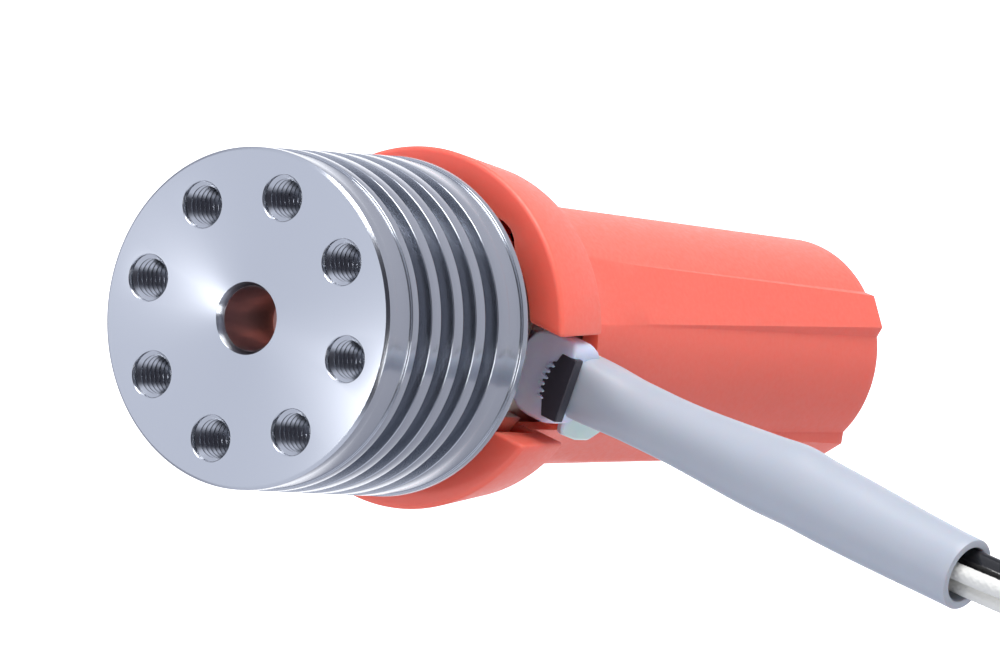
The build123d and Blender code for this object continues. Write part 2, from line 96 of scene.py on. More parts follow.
def add_camera():
    axis = Vector((math.sin(AXIS_YAW) * math.cos(AXIS_PITCH), math.sin(AXIS_PITCH),
                   math.cos(AXIS_YAW) * math.cos(AXIS_PITCH)))
    side = Vector((0, 1, 0)).cross(axis).normalized()
    below = axis.cross(side)
    row_x = math.cos(EXIT_ROLL) * side + math.sin(EXIT_ROLL) * below
    row_z = -axis
    row_y = row_z.cross(row_x)

    def in_row(v):
        return Vector((v.dot(row_x), v.dot(row_y), v.dot(row_z)))

    right, up, back = (in_row(Vector(v)) for v in ((1, 0, 0), (0, -1, 0), (0, 0, -1)))
    data = bpy.data.cameras.new("camera")
    data.lens = LENS_MM
    data.sensor_width = SENSOR_MM
    data.clip_start = 0.05
    data.clip_end = 20.0
    camera = bpy.data.objects.new("camera", data)
    scene.collection.objects.link(camera)
    turn = Matrix((right, up, back)).transposed()
    camera.matrix_world = Matrix.Translation(in_row(-FACE_PLACE)) @ turn.to_4x4()
    scene.camera = camera
    return right, up, back


RIGHT, UP, BACK = add_camera()


# ---------------------------------------------------------------- mesh helpers

# Shapes are worked out in millimetres, with depths below the mounting face, as in the CAD.

ARC_STEPS = 4


def unit(v):
    return v / np.linalg.norm(v)


def rounded(corners):
    """A closed outline from (across, along, radius) corners, each rounded to its radius."""
    outline = []
    places = [np.array(c[:2], float) for c in corners]
    for index, here in enumerate(places):
        radius = corners[index][2]
        if not radius:
            outline.append(tuple(here))
            continue
        back = unit(places[index - 1] - here)
        ahead = unit(places[(index + 1) % len(places)] - here)
        half = math.acos(max(-1.0, min(1.0, float(back @ ahead)))) / 2
        centre = here + unit(back + ahead) * radius / math.sin(half)
        first = here + back * radius / math.tan(half) - centre
        last = here + ahead * radius / math.tan(half) - centre
        sweep = math.pi - 2 * half
        for step in range(ARC_STEPS + 1):
            t = step / ARC_STEPS
            arm = first * math.sin((1 - t) * sweep) + last * math.sin(t * sweep)
            outline.append(tuple(centre + arm / math.sin(sweep)))
    return outline


def inset(outline, depth):
    """A closed outline moved inwards by a depth; its points run clockwise or anticlockwise."""
    points = np.array(outline, float)
    along = np.roll(points, -1, axis=0) - np.roll(points, 1, axis=0)
    normals = np.stack((along[:, 1], -along[:, 0]), axis=1)
    normals /= np.maximum(np.linalg.norm(normals, axis=1, keepdims=True), 1e-9)
    following = np.roll(points, -1, axis=0)
    area = float(np.sum(points[:, 0] * following[:, 1] - following[:, 0] * points[:, 1]))
    return [tuple(p) for p in points - normals * depth * (1 if area > 0 else -1)]


def polar(radius, angle, depth, centre=(0.0, 0.0)):
    """A point at a radius and an angle round a centre, at a depth."""
    return (centre[0] + radius * math.cos(angle), centre[1] + radius * math.sin(angle), -depth)


def level(outline, depth):
    """A ring at a depth from an (x, y) outline."""
    return [(x, y, -depth) for x, y in outline]


def lofted(name, rings, wrap=False):
    """A closed solid through rings of points, in millimetres; wrap joins the last to the first."""
    count = len(rings[0])
    vertices = [tuple(c * MM for c in point) for ring in rings for point in ring]
    faces = []
    for index in range(len(rings) if wrap else len(rings) - 1):
        near = index * count
        far = (index + 1) % len(rings) * count
        for k in range(count):
            m = (k + 1) % count
            faces.append((near + k, near + m, far + m, far + k))
    if not wrap:
        faces.append(tuple(range(count)))
        faces.append(tuple(range(len(vertices) - count, len(vertices))))
    mesh = bpy.data.meshes.new(name)
    mesh.from_pydata(vertices, [], faces)
    return clean(mesh)


def clean(mesh, merge=0.0):
    bm = bmesh.new()
    bm.from_mesh(mesh)
    if merge:
        bmesh.ops.remove_doubles(bm, verts=bm.verts, dist=merge)
    bmesh.ops.recalc_face_normals(bm, faces=bm.faces)
    bm.to_mesh(mesh)
    bm.free()
    return mesh


def turned(name, outline, segments):
    """An outline of (radius, depth) points spun round the hotend's axis."""
    rings = []
    for index in range(segments):
        angle = 2 * math.pi * index / segments
        rings.append([polar(r, angle, s) for r, s in outline])
    return lofted(name, rings, wrap=True)


def peg(name, points, centre, segments=48):
    """A round solid standing along Z at a centre, through (radius, depth) points."""
    turns = [2 * math.pi * k / segments for k in range(segments)]
    return lofted(name, [[polar(r, turn, s, centre) for turn in turns] for r, s in points])


def bar(name, outline, ends):
    """A solid along X between two ends, from a (y, depth) outline."""
    return lofted(name, [[(x, y, -s) for y, s in outline] for x in ends])


def joined(name, meshes):
    """One mesh of several, which are removed."""
    bm = bmesh.new()
    for mesh in meshes:
        bm.from_mesh(mesh)
        bpy.data.meshes.remove(mesh)
    mesh = bpy.data.meshes.new(name)
    bm.to_mesh(mesh)
    bm.free()
    return mesh


def combined(mesh, tool, how):
    """The mesh after a boolean with the tool's mesh: UNION or DIFFERENCE."""
    piece = bpy.data.objects.new("work", mesh)
    other = bpy.data.objects.new("tool", tool)
    for item in (piece, other):
        scene.collection.objects.link(item)
    modifier = piece.modifiers.new("cut", "BOOLEAN")
    modifier.object = other
    modifier.operation = how
    modifier.solver = "EXACT"
    bpy.context.view_layer.update()
    ready = piece.evaluated_get(bpy.context.evaluated_depsgraph_get())
    result = bpy.data.meshes.new_from_object(ready)
    for item in (piece, other):
        bpy.data.objects.remove(item)
    return result


def smoothed(mesh, angle):
    """The mesh shaded smooth, except at edges sharper than an angle in degrees."""
    mesh.shade_smooth()
    mesh.set_sharp_from_angle(angle=math.radians(angle))
    return mesh


def new_object(name, data, body, slot, stands_for=()):
    data.name = name
    piece = bpy.data.objects.new(name, data)
    scene.collection.objects.link(piece)
    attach(piece, body)
    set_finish(piece, slot)
    if stands_for:
        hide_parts(*stands_for)
    return piece


# ---------------------------------------------------------------- cords

ROUTES_MM = {
    "thermistor_lead": [
        (36.0, 1.10, -24.95),
        (45.5, 1.03, -24.85),
        (54.3, 2.40, -28.20),
        (58.0, 3.20, -37.00),
        (59.4, 3.60, -51.00),
        (58.8, 4.50, -68.00),
        (57.6, 5.70, -86.00),
        (57.0, 6.60, -103.00),
        (57.2, 7.00, -118.00),
    ],
    "heater_lead_a": [
        (36.0, 0.28, -23.50),
        (45.5, 0.28, -23.45),
        (54.6, 1.30, -26.40),
        (59.8, 1.60, -36.00),
        (61.4, 0.90, -51.00),
        (60.8, -0.70, -70.00),
        (59.5, -2.40, -90.00),
        (58.9, -3.60, -110.00),
        (58.9, -4.25, -128.00),
    ],
    "heater_lead_b": [
        (36.0, -0.62, -24.75),
        (45.5, -0.77, -24.45),
        (54.4, 0.10, -27.80),
        (58.4, -0.90, -37.40),
        (59.0, -2.90, -52.50),
        (57.8, -4.40, -72.00),
        (56.4, -5.00, -91.00),
        (55.8, -4.80, -110.00),
        (55.9, -4.25, -128.00),
    ],
}
LEAD_RADIUS = {"thermistor_lead": 0.8, "heater_lead_a": 0.575, "heater_lead_b": 0.575}
BRAID_CARRIERS = 8
BRAID_LAY = 4.6
BRAID_DEPTH = 0.075
TWIST_LAY = 9.0
TWIST_DEPTH = 0.035


def route_line(name, steps):
    """Points along a route's NURBS spline, in millimetres."""
    curve = bpy.data.curves.new(name, "CURVE")
    curve.dimensions = "3D"
    spline = curve.splines.new("NURBS")
    spline.points.add(len(ROUTES_MM[name]) - 1)
    for knot, point in zip(spline.points, ROUTES_MM[name]):
        knot.co = (*[c * MM for c in point], 1.0)
    spline.order_u = 3
    spline.use_endpoint_u = True
    spline.resolution_u = steps
    carrier = bpy.data.objects.new(name + "_route", curve)
    mesh = bpy.data.meshes.new_from_object(carrier)
    line = [np.array(v.co) / MM for v in mesh.vertices]
    bpy.data.objects.remove(carrier)
    bpy.data.meshes.remove(mesh)
    bpy.data.curves.remove(curve)
    return line


def tube_rings(line, sides, radius):
    """Rings along a line; radius gives each point's distance from its turn and its place along."""
    rings = []
    ahead = [unit(b - a) for a, b in zip(line, line[1:])]
    ahead.append(ahead[-1])
    across = unit(np.cross(ahead[0], (0.0, 0.0, 1.0)))
    travelled = 0.0
    for index, point in enumerate(line):
        if index:
            travelled += float(np.linalg.norm(point - line[index - 1]))
        across = unit(across - ahead[index] * float(across @ ahead[index]))
        other = np.cross(ahead[index], across)
        ring = []
        for k in range(sides):
            turn = 2 * math.pi * k / sides
            reach = radius(turn, travelled)
            ring.append(point + reach * (math.cos(turn) * across + math.sin(turn) * other))
        rings.append(ring)
    return rings


def braid(turn, along):
    """Height of a braid of crossing strands, from 0 to 1: each passes over one and under one."""
    left = BRAID_CARRIERS * (turn / (2 * math.pi) + along / BRAID_LAY)
    right = BRAID_CARRIERS * (turn / (2 * math.pi) - along / BRAID_LAY)
    over = (math.floor(left) + math.floor(right)) % 2 == 0
    return math.sin(math.pi * ((left if over else right) % 1.0)) ** 0.7


def braided(name):
    full = LEAD_RADIUS[name]
    return lambda turn, along: full - BRAID_DEPTH * (1 - braid(turn, along))


def jacketed(name):
    full = LEAD_RADIUS[name]
    return lambda turn, along: full - TWIST_DEPTH * (
        1 + math.cos(2 * turn - 2 * math.pi * along / TWIST_LAY))


def add_lead(name, slot, steps, sides, surface):
    line = route_line(name, steps)
    mesh = smoothed(lofted(name, tube_rings(line, sides, surface(name))), 60)
    lead = new_object(name + "_look", mesh, "frame", slot, [name])


add_lead("thermistor_lead", "black_jacket", 40, 28, jacketed)
add_lead("heater_lead_a", "white_braid", 110, 40, braided)
add_lead("heater_lead_b", "white_braid", 110, 40, braided)


# ---------------------------------------------------------------- heatsink

SINK_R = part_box("heatsink")[1].x / MM
SINK_LENGTH = -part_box("heatsink")[0].z / MM
SINK_CHAMFER = 0.2
SINK_FOOT_EDGE = 0.12
RIM_EDGE = 0.04
FIN_EDGE = 0.07
GROOVE_FLOOR_R = 9.85
GROOVE_TOP = 3.5
GROOVE_PITCH = 2.53
GROOVE_WIDTH = 1.45
GROOVE_CORNER = 0.12
GROOVES = 4
BANDS = ((1.0, 2.75), (13.85, 15.4))
BAND_DEPTH = 0.15
BAND_CORNER = 0.05
MOUTH_R = 2.35
MOUTH_DEPTH = 0.55
GUIDE_BORE_R = 2.1
BREAK_SLEEVE_R = 3.0
HOLE_RING_R = 8.125
HOLE_COUNT = 8
HOLE_TURN = math.radians(3.2)
HOLE_R = 1.5
HOLE_DEPTH = 7.0
HOLE_FLARE = 0.05
DRILL_POINT = 0.8
DRILL_TIP_R = 0.05
THREAD_PITCH = 0.5
THREAD_ROOT_R = HOLE_R + 0.02
THREAD_ROOT_HALF = 0.23
THREAD_CREST_R = 1.25
THREAD_CREST_HALF = 0.05
THREAD_REACH = (0.32, 6.4)
THREAD_STEPS = 36
SCREWS = 3
SCREW_RING_R = 7.9
SCREW_TURN = HOLE_TURN + math.pi / 3
SCREW_HOLE_R = 1.05
SCREW_HOLE_DEPTH = 4.3


def heatsink_outline():
    """(radius, depth) outline of half the heatsink's section: rim, bands, grooves and bore."""
    corners = [(SINK_R - SINK_CHAMFER, 0, RIM_EDGE), (SINK_R, SINK_CHAMFER, RIM_EDGE)]
    steps = [(top, end, SINK_R - BAND_DEPTH, BAND_CORNER) for top, end in BANDS]
    for index in range(GROOVES):
        top = GROOVE_TOP + index * GROOVE_PITCH
        steps.append((top, top + GROOVE_WIDTH, GROOVE_FLOOR_R, GROOVE_CORNER))
    for top, end, floor_r, corner in sorted(steps):
        corners += [(SINK_R, top, FIN_EDGE), (floor_r, top, corner)]
        corners += [(floor_r, end, corner), (SINK_R, end, FIN_EDGE)]
    corners += [(SINK_R, SINK_LENGTH, SINK_FOOT_EDGE), (BREAK_SLEEVE_R, SINK_LENGTH, 0)]
    corners += [(BREAK_SLEEVE_R, MOUTH_DEPTH, 0), (GUIDE_BORE_R, MOUTH_DEPTH, 0)]
    corners.append((MOUTH_R, 0, RIM_EDGE))
    return rounded(corners)


def ring_places(ring_r, count, first):
    """Centres spaced evenly on a circle, from a first angle."""
    turns = [first + 2 * math.pi * k / count for k in range(count)]
    return [(ring_r * math.cos(a), ring_r * math.sin(a)) for a in turns]


def threaded_hole(centre):
    """The cutter of a drilled hole, flared at its mouth and pointed at its end."""
    overshoot = 0.05
    return peg("hole", [(HOLE_R + HOLE_FLARE + overshoot, -overshoot), (HOLE_R, HOLE_FLARE),
                        (HOLE_R, HOLE_DEPTH - DRILL_POINT), (DRILL_TIP_R, HOLE_DEPTH)], centre)


def thread_ridge(centre):
    """A helical ridge with a flattened crest, its root sunk into the hole's wall."""
    section = ((THREAD_ROOT_R, THREAD_ROOT_HALF), (THREAD_ROOT_R, -THREAD_ROOT_HALF),
               (THREAD_CREST_R, -THREAD_CREST_HALF), (THREAD_CREST_R, THREAD_CREST_HALF))
    top, end = THREAD_REACH
    rings = []
    for index in range(round((end - top) / THREAD_PITCH * THREAD_STEPS) + 1):
        turn = 2 * math.pi * index / THREAD_STEPS
        middle = top + THREAD_PITCH * index / THREAD_STEPS
        rings.append([polar(r, turn, middle + h, centre) for r, h in section])
    return lofted("thread", rings)


def add_heatsink():
    body = turned("heatsink_look", heatsink_outline(), 288)
    mounts = ring_places(HOLE_RING_R, HOLE_COUNT, HOLE_TURN)
    screws = ring_places(SCREW_RING_R, SCREWS, SCREW_TURN)
    cutters = [threaded_hole(place) for place in mounts]
    cutters += [peg("hole", [(SCREW_HOLE_R, SINK_LENGTH - SCREW_HOLE_DEPTH),
                             (SCREW_HOLE_R, SINK_LENGTH + 0.1)], place) for place in screws]
    body = combined(body, joined("cutters", cutters), "DIFFERENCE")
    new_object("heatsink_look", smoothed(body, 25), "frame", "turned_aluminium", ["heatsink"])
    threads = joined("threads", [thread_ridge(place) for place in mounts])
    new_object("mount_hole_threads", smoothed(threads, 40), "frame", "turned_aluminium")


add_heatsink()


# ---------------------------------------------------------------- silicone boot

COLLAR_TOP = 18.75
COLLAR_END = 24.8
COLLAR_TOP_R = 11.8
COLLAR_END_R = 10.86
COLLAR_INNER_R = 9.2
COLLAR_ROOT_R = 8.0
COLLAR_FLOOR = 23.6
COLLAR_EDGE = 0.32
COLLAR_STEPS = 220
BODY_TOP = 24.1
SHOULDER_R = 8.8
WAIST_R = 8.3
WAIST = 36.5
BOOT_END_R = 7.24
BOOT_END = 63.1
BOOT_WALL = 1.2
BOOT_LIP = 1.4
BOOT_HOLE_R = 4.45
BOOT_EDGE = 0.3
SLOT_HALF = 3.75
SLOT_TOP = 22.0
SLOT_END = 27.6
SLOT_CORNER = 0.8
SLOT_EDGE = 0.25
SLOT_TRIM = 0.05
NOTCH_R = 1.95
PAD_ANGLES = [math.radians(a) for a in (-140, -40.5, 40.5, 140)]
PAD_TOP = 30.0
PAD_FADE = 4.0
PAD_PROUD = 0.42
PAD_FOOT = (math.radians(15.2), math.radians(12.4))
PAD_CREST = (2.16, 1.1)
GAP_STEPS = 40


def body_radius(s):
    """The boot's outer radius between its pads, at a depth."""
    if s < WAIST:
        return SHOULDER_R + (WAIST_R - SHOULDER_R) * (s - COLLAR_END) / (WAIST - COLLAR_END)
    return WAIST_R + (BOOT_END_R - WAIST_R) * (s - WAIST) / (BOOT_END - WAIST)


def pad_section(s):
    """(angle, radius) points across a pad at a depth: its feet, and a flat crest between them."""
    bare = body_radius(s)
    share = max(0.0, (s - PAD_TOP) / (BOOT_END - PAD_TOP))
    foot = PAD_FOOT[0] + (PAD_FOOT[1] - PAD_FOOT[0]) * share
    crest = PAD_CREST[0] + (PAD_CREST[1] - PAD_CREST[0]) * share
    start = body_radius(PAD_TOP) * math.cos(PAD_FOOT[0])
    flat = start + (BOOT_END_R + PAD_PROUD - start) * share
    grown = min(1.0, max(0.0, 1 + (s - PAD_TOP) / PAD_FADE))
    section = [(-foot, bare)]
    for place in (-1.0, -0.5, 0.0, 0.5, 1.0):
        reach = math.hypot(flat, place * crest)
        section.append((math.atan2(place * crest, flat), bare + (reach - bare) * grown))
    return section + [(foot, bare)]


def boot_stations(s):
    """(angle, radius) round the body at a depth."""
    section = pad_section(s)
    foot = section[-1][0]
    stations = []
    for index, centre in enumerate(PAD_ANGLES):
        stations += [(centre + turn, r) for turn, r in section]
        gap_end = PAD_ANGLES[(index + 1) % len(PAD_ANGLES)]
        if gap_end < centre:
            gap_end += 2 * math.pi
        for k in range(1, GAP_STEPS):
            turn = centre + foot + (gap_end - centre - 2 * foot) * k / GAP_STEPS
            stations.append((turn, body_radius(s)))
    return stations


def boot_body():
    """The boot below its collar, with its hollow and its end opening."""
    depths = [BODY_TOP, COLLAR_END, 25.5] + [26.0 + 0.75 * k for k in range(50)]
    rings = [[polar(r, a, s) for a, r in boot_stations(s)] for s in depths]
    for step in range(ARC_STEPS + 1):
        turn = math.pi / 2 * step / ARC_STEPS
        drop = BOOT_EDGE * (1 - math.cos(turn))
        s = BOOT_END - BOOT_EDGE * (1 - math.sin(turn))
        rings.append([polar(r - drop, a, s) for a, r in boot_stations(BOOT_END)])
    angles = [a for a, _ in boot_stations(BOOT_END)]
    inner = [(BOOT_HOLE_R + BOOT_EDGE, BOOT_END), (BOOT_HOLE_R + 0.1, BOOT_END - 0.1),
             (BOOT_HOLE_R, BOOT_END - BOOT_EDGE), (BOOT_HOLE_R, BOOT_END - BOOT_LIP),
             (BOOT_END_R - BOOT_WALL, BOOT_END - BOOT_LIP), (WAIST_R - BOOT_WALL, WAIST),
             (SHOULDER_R - BOOT_WALL, BODY_TOP)]
    rings += [[polar(r, a, s) for a in angles] for r, s in inner]
    return lofted("boot_body", rings, wrap=True)


def notch_growth(angle):
    """How far the collar's inner wall steps back round a standoff, at an angle."""
    grown = 0.0
    for index in range(SCREWS):
        centre = SCREW_TURN + 2 * math.pi * index / SCREWS
        aside = SCREW_RING_R * math.sin(angle - centre)
        if abs(aside) < NOTCH_R and math.cos(angle - centre) > 0:
            reach = SCREW_RING_R * math.cos(angle - centre) + math.sqrt(NOTCH_R**2 - aside**2)
            grown = max(grown, reach - COLLAR_INNER_R)
    return grown


def collar_ring(outline, plane, share):
    """The collar's section at a share of its way round, which starts and ends at a plane of Y."""
    ring = []
    for r, s in outline:
        first = math.asin(plane / r)
        angle = first + share * (2 * math.pi - 2 * first)
        on_inner_wall = s < COLLAR_FLOOR - 0.05 and r < COLLAR_INNER_R + 0.4
        ring.append(polar(r + notch_growth(angle) if on_inner_wall else r, angle, s))
    return ring


def boot_collar():
    """The collar, open at the slot, with rounded ends on both sides of it."""
    outline = rounded([
        (COLLAR_INNER_R, COLLAR_TOP, 0.15), (COLLAR_TOP_R, COLLAR_TOP, COLLAR_EDGE),
        (COLLAR_END_R, COLLAR_END, COLLAR_EDGE), (COLLAR_ROOT_R, COLLAR_END, 0),
        (COLLAR_ROOT_R, COLLAR_FLOOR, 0), (COLLAR_INNER_R, COLLAR_FLOOR, 0.1)])
    ends = []
    for step in range(ARC_STEPS):
        turn = math.pi / 2 * step / ARC_STEPS
        sunk = inset(outline, SLOT_EDGE * (1 - math.sin(turn)))
        ends.append((sunk, SLOT_HALF + SLOT_EDGE * (1 - math.cos(turn))))
    rings = [collar_ring(sunk, plane, 0.0) for sunk, plane in ends]
    rings += [collar_ring(outline, SLOT_HALF + SLOT_EDGE, k / COLLAR_STEPS)
              for k in range(COLLAR_STEPS + 1)]
    rings += [collar_ring(sunk, plane, 1.0) for sunk, plane in reversed(ends)]
    return lofted("boot_collar", rings)


def boot_slot_cutter():
    """The cutter that carries the collar's opening down into the body."""
    half = SLOT_HALF - SLOT_TRIM
    outline = rounded([(-half, SLOT_TOP, 0), (half, SLOT_TOP, 0),
                       (half, SLOT_END, SLOT_CORNER), (-half, SLOT_END, SLOT_CORNER)])
    return bar("slot", outline, (4.0, 12.5))


def add_boot():
    mesh = combined(boot_body(), boot_collar(), "UNION")
    mesh = combined(mesh, boot_slot_cutter(), "DIFFERENCE")
    mesh = smoothed(clean(mesh, 1e-6), 28)
    new_object("silicone_boot_look", mesh, "boot", "orange_silicone", ["silicone_boot"])


add_boot()


# ---------------------------------------------------------------- lead sleeve

SLEEVE_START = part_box("lead_sleeve")[0].x / MM
SLEEVE_SHORT = 1.2                  # the soft sleeve draws back from its full length
SLEEVE_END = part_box("lead_sleeve")[1].x / MM - SLEEVE_SHORT
SLEEVE_HEIGHT = 24.5
SLEEVE_WALL = 0.55
SLEEVE_ROOT_R = 2.1
SLEEVE_SIDE = 0.25
SLEEVE_LIP = 0.1
SLEEVE_SQUARE = 1.8
SLEEVE_SQUARE_REACH = (0.5, 4.5)
SLEEVE_STEPS = 60
SWELLING = 0.52
SWELLING_REACH = (17, 28)
NARROWING = 0.21
NARROWING_REACH = (31, 42)
CRIMP_LUMP = 0.05
CRIMP_LUMP_AT = (27.8, 1.6)


def eased(x, start, end):
    """A smooth rise from 0 to 1 between a start and an end."""
    t = min(1.0, max(0.0, (x - start) / (end - start)))
    return t * t * (3 - 2 * t)


def hump(x, middle, spread):
    """A smooth hump of height 1."""
    return math.exp(-((x - middle) / spread) ** 2)


def sleeve_section(x):
    """(radius, sideways shift) at a distance: swollen over the joints, more on one side."""
    radius = SLEEVE_ROOT_R + SWELLING * eased(x, *SWELLING_REACH)
    radius += CRIMP_LUMP * hump(x, *CRIMP_LUMP_AT) - NARROWING * eased(x, *NARROWING_REACH)
    return radius, SLEEVE_SIDE + 0.22 * hump(x, 29, 7) + 0.11 * hump(x, 28, 1.7)


def sleeve_ring(x, less, sides=64):
    """A ring of the sleeve, squarer near its root where the clip presses on it."""
    radius, shift = sleeve_section(x)
    power = 2 + SLEEVE_SQUARE * (1 - eased(x - SLEEVE_START, *SLEEVE_SQUARE_REACH))
    ring = []
    for k in range(sides):
        c, s = math.cos(2 * math.pi * k / sides), math.sin(2 * math.pi * k / sides)
        reach = (radius - less) / (abs(c) ** power + abs(s) ** power) ** (1 / power)
        ring.append((x, shift + reach * c, reach * s - SLEEVE_HEIGHT))
    return ring


def add_sleeve():
    """The sleeve as a tube: out along its outside, round its lip and back along its bore."""
    places = [SLEEVE_START + (SLEEVE_END - SLEEVE_LIP - SLEEVE_START) * k / SLEEVE_STEPS
              for k in range(SLEEVE_STEPS + 1)]
    rings = [sleeve_ring(x, 0.0) for x in places]
    rings.append(sleeve_ring(SLEEVE_END - 0.03, 0.03))
    rings.append(sleeve_ring(SLEEVE_END, SLEEVE_LIP))
    rings.append(sleeve_ring(SLEEVE_END, SLEEVE_WALL - 0.06))
    rings += [sleeve_ring(x, SLEEVE_WALL) for x in [SLEEVE_END - 0.06] + places[::-1][1:]]
    mesh = smoothed(lofted("sleeve", rings, wrap=True), 40)
    new_object("lead_sleeve_look", mesh, "frame", "grey_sleeve", ["lead_sleeve"])


add_sleeve()


# ---------------------------------------------------------------- lead exit

HEATER_R = 5.9
BLOCK_TOP = 21.55
BLOCK_END = 24.7
BLOCK_X = (6.7, 10.8)
BLOCK_Y = (-2.48, 3.32)
BLOCK_TOP_EDGE = 0.3
BLOCK_END_EDGE = 1.9
BLOCK_INNER_CORNER = 2.0
BLOCK_OUTER_CORNER = 0.9
NECK_X = (4.6, 8.0)
NECK_Y = (-1.8, 2.6)
NECK_DEPTHS = (22.4, 24.4)
TONGUE_X = (9.35, 9.85)
TONGUE_EDGE = 0.12
TONGUE_CURL = 0.1
CLIP_TOP = 21.5
CLIP_DEPTH = 0.78
CLIP_X = (9.8, 11.07)
CLIP_Y = (-2.05, 2.25)
CLIP_CORNER = 0.12
CLIP_BEVEL = 0.06
CLIP_BOW = 0.55
SERRATIONS = 6
SERRATED = (0.2, 0.82)              # shares of the clip's width between which it is serrated


def box_outline(across, along, near=0.0, far=0.0):
    """A rectangle's outline, its corners rounded at the near and at the far end of across."""
    (x0, x1), (y0, y1) = across, along
    return rounded([(x0, y0, near), (x1, y0, far), (x1, y1, far), (x0, y1, near)])


def lead_block():
    """The potted block: round at its inner end, on a neck that meets the heater's side."""
    plan = box_outline(BLOCK_X, BLOCK_Y, BLOCK_INNER_CORNER, BLOCK_OUTER_CORNER)
    rings = []
    for step in range(ARC_STEPS + 1):
        turn = math.pi / 2 * step / ARC_STEPS
        drawn = inset(plan, BLOCK_TOP_EDGE * (1 - math.sin(turn)))
        rings.append(level(drawn, BLOCK_TOP + BLOCK_TOP_EDGE * (1 - math.cos(turn))))
    block = lofted("block", rings + [level(plan, BLOCK_END)])
    (y0, y1), above = BLOCK_Y, BLOCK_TOP - 1
    front = rounded([(y0, above, 0), (y1, above, 0),
                     (y1, BLOCK_END, BLOCK_END_EDGE), (y0, BLOCK_END, BLOCK_END_EDGE)])
    block = combined(block, bar("front", front, (4, 12)), "INTERSECT")
    neck = box_outline(NECK_X, NECK_Y)
    block = combined(block, lofted("neck", [level(neck, s) for s in NECK_DEPTHS]), "UNION")
    root = lofted("root", [sleeve_ring(x, 0.01) for x in (4.5, SLEEVE_START)])
    block = combined(block, root, "UNION")
    return combined(block, peg("heater", [(HEATER_R, 20), (HEATER_R, 30)], (0, 0), 96), "DIFFERENCE")


def clip_bow(share):
    """A point on the clip's inner edge, which bows out under the potting."""
    (x0, _), (y0, y1) = CLIP_X, CLIP_Y
    return x0 - CLIP_BOW * math.sin(math.pi * share) ** 1.3, y0 + (y1 - y0) * share


def serration(index):
    """The share of the clip's width where a serration stands, counted from 0."""
    start, end = SERRATED
    return start + (end - start) * index / SERRATIONS


def clip_outline():
    """The clip bar in plan, with small serrations along its bowed edge."""
    outline = box_outline(CLIP_X, CLIP_Y, CLIP_CORNER, CLIP_CORNER)
    outline += [clip_bow(0.94), clip_bow(0.88)]
    for index in range(SERRATIONS, 0, -1):
        middle = serration(index)
        for offset, reach in ((0.03, 0.0), (0.012, 0.2), (-0.016, 0.2), (-0.022, 0.02)):
            x, y = clip_bow(middle + offset)
            outline.append((x - reach, y))
    return outline + [clip_bow(0.16), clip_bow(0.08)]


def lead_clip():
    plan = clip_outline()
    return lofted("clip", [level(inset(plan, CLIP_BEVEL), CLIP_TOP),
                           level(plan, CLIP_TOP + CLIP_BEVEL), level(plan, CLIP_TOP + CLIP_DEPTH)])


def potting_teeth():
    """Small tongues of potting that lap over the clip between its serrations."""
    teeth = []
    for index in range(SERRATIONS):
        x, y = clip_bow(serration(index + 0.5))
        reach = 0.16 + 0.06 * math.sin(2.6 * index)
        corners = ((-0.4, -0.13), (reach * 0.5, -0.09), (reach, 0.03), (reach * 0.3, 0.09), (-0.4, 0.12))
        levels = ((CLIP_TOP + 0.1, 1.0), (CLIP_TOP - 0.04, 1.0), (CLIP_TOP - 0.08, 0.7))
        teeth.append(lofted("tooth", [level([(x + a * share, y + b * share) for a, b in corners], s)
                                      for s, share in levels]))
    return joined("teeth", teeth)


def lead_tongue():
    """The thin flap of potting under the sleeve's root, curling away at its edge."""
    outline = rounded([(-3.3, 24.6, 0.5), (-0.4, 24.6, 0.3), (-0.4, 29.0, 0.3), (-3.1, 29.2, 0.3),
                       (-3.62, 28.0, 1.0), (-3.62, 26.4, 1.0)])
    x0, x1 = TONGUE_X
    rings = []
    for x, drawn in ((x0, TONGUE_EDGE), (x0 + TONGUE_EDGE, 0), (x1 - TONGUE_EDGE, 0),
                     (x1, TONGUE_EDGE)):
        rings.append([(x + TONGUE_CURL * math.sin(s), y, -s) for y, s in inset(outline, drawn)])
    return lofted("tongue", rings)


def add_lead_exit():
    new_object("lead_out_block_look", smoothed(lead_block(), 40), "frame", "potting_silicone",
               ["lead_out_block"])
    new_object("potting_teeth", smoothed(potting_teeth(), 30), "frame", "potting_silicone")
    new_object("potting_tongue", smoothed(lead_tongue(), 40), "frame", "potting_silicone")
    new_object("lead_clip_look", smoothed(lead_clip(), 25), "frame", "black_clip", ["lead_clip"])


add_lead_exit()


# ---------------------------------------------------------------- stage

FLOOR_DROP = 0.30
FLOOR_SIZE = 4.0
FLOOR_COLOUR = (0.5, 0.5, 0.53)
FLOOR_GLOW = 1.2
GLOW_REACH = (0.14, 0.38)
SUBJECT = Vector((0.015, 0, -0.03))
LIGHT_AIM = Vector((0.01, 0, -0.03))
SKY_COLOUR = (0.84, 0.88, 1.0)
SKY_DARK = (0.05, 0.05, 0.065)
SKY_EDGE = (0.62, 0.80)
SKY_STRENGTH = 1.0


